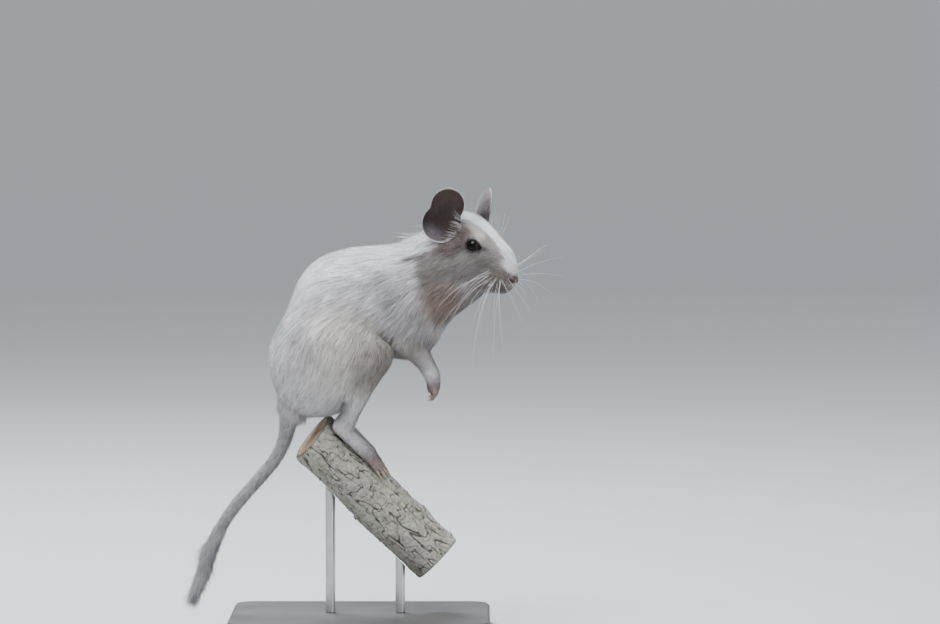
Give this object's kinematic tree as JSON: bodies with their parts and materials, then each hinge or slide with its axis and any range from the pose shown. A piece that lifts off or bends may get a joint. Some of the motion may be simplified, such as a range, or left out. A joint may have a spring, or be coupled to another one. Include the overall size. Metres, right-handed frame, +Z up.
{
  "type": "degu figure on a perch",
  "caption": "Pale long-tailed degu sitting up on a short sloping length of branch, held over a flat base by two short rods.",
  "frame": {"origin": "on the floor, at the middle of the base's underside", "axes": "+Z up, +X the way the animal's body faces, +Y its left"},
  "size_m": [0.1913, 0.1, 0.2235],
  "materials": {
    "fur": "soft pale fur",
    "skin": "bare or thinly haired skin",
    "eye": "wet dark gloss",
    "bark": "grey cracked bark, sawn ends",
    "paint": "matt dark paint",
    "rod": "brushed"
  },
  "bodies": {
    "root": {"torso": "fur", "neck": "fur", "head": "fur", "muzzle": "fur", "lower_jaw": "fur", "thigh_right": "fur", "thigh_left": "fur", "upper_arm_right": "fur", "upper_arm_left": "fur", "forearm_right": "fur", "forearm_left": "fur", "shank_right": "fur", "shank_left": "fur", "tail_base": "fur", "tail_middle": "fur", "tail_brush": "fur", "ear_right": "skin", "ear_left": "skin", "nose": "skin", "forepaw_right": "skin", "forepaw_left": "skin", "hindfoot_right": "skin", "hindfoot_left": "skin", "eye_right": "eye", "eye_left": "eye", "perch": "bark", "stand_base": "paint", "stand_rod_rear": "rod", "stand_rod_front": "rod"}
  },
  "joints": []
}
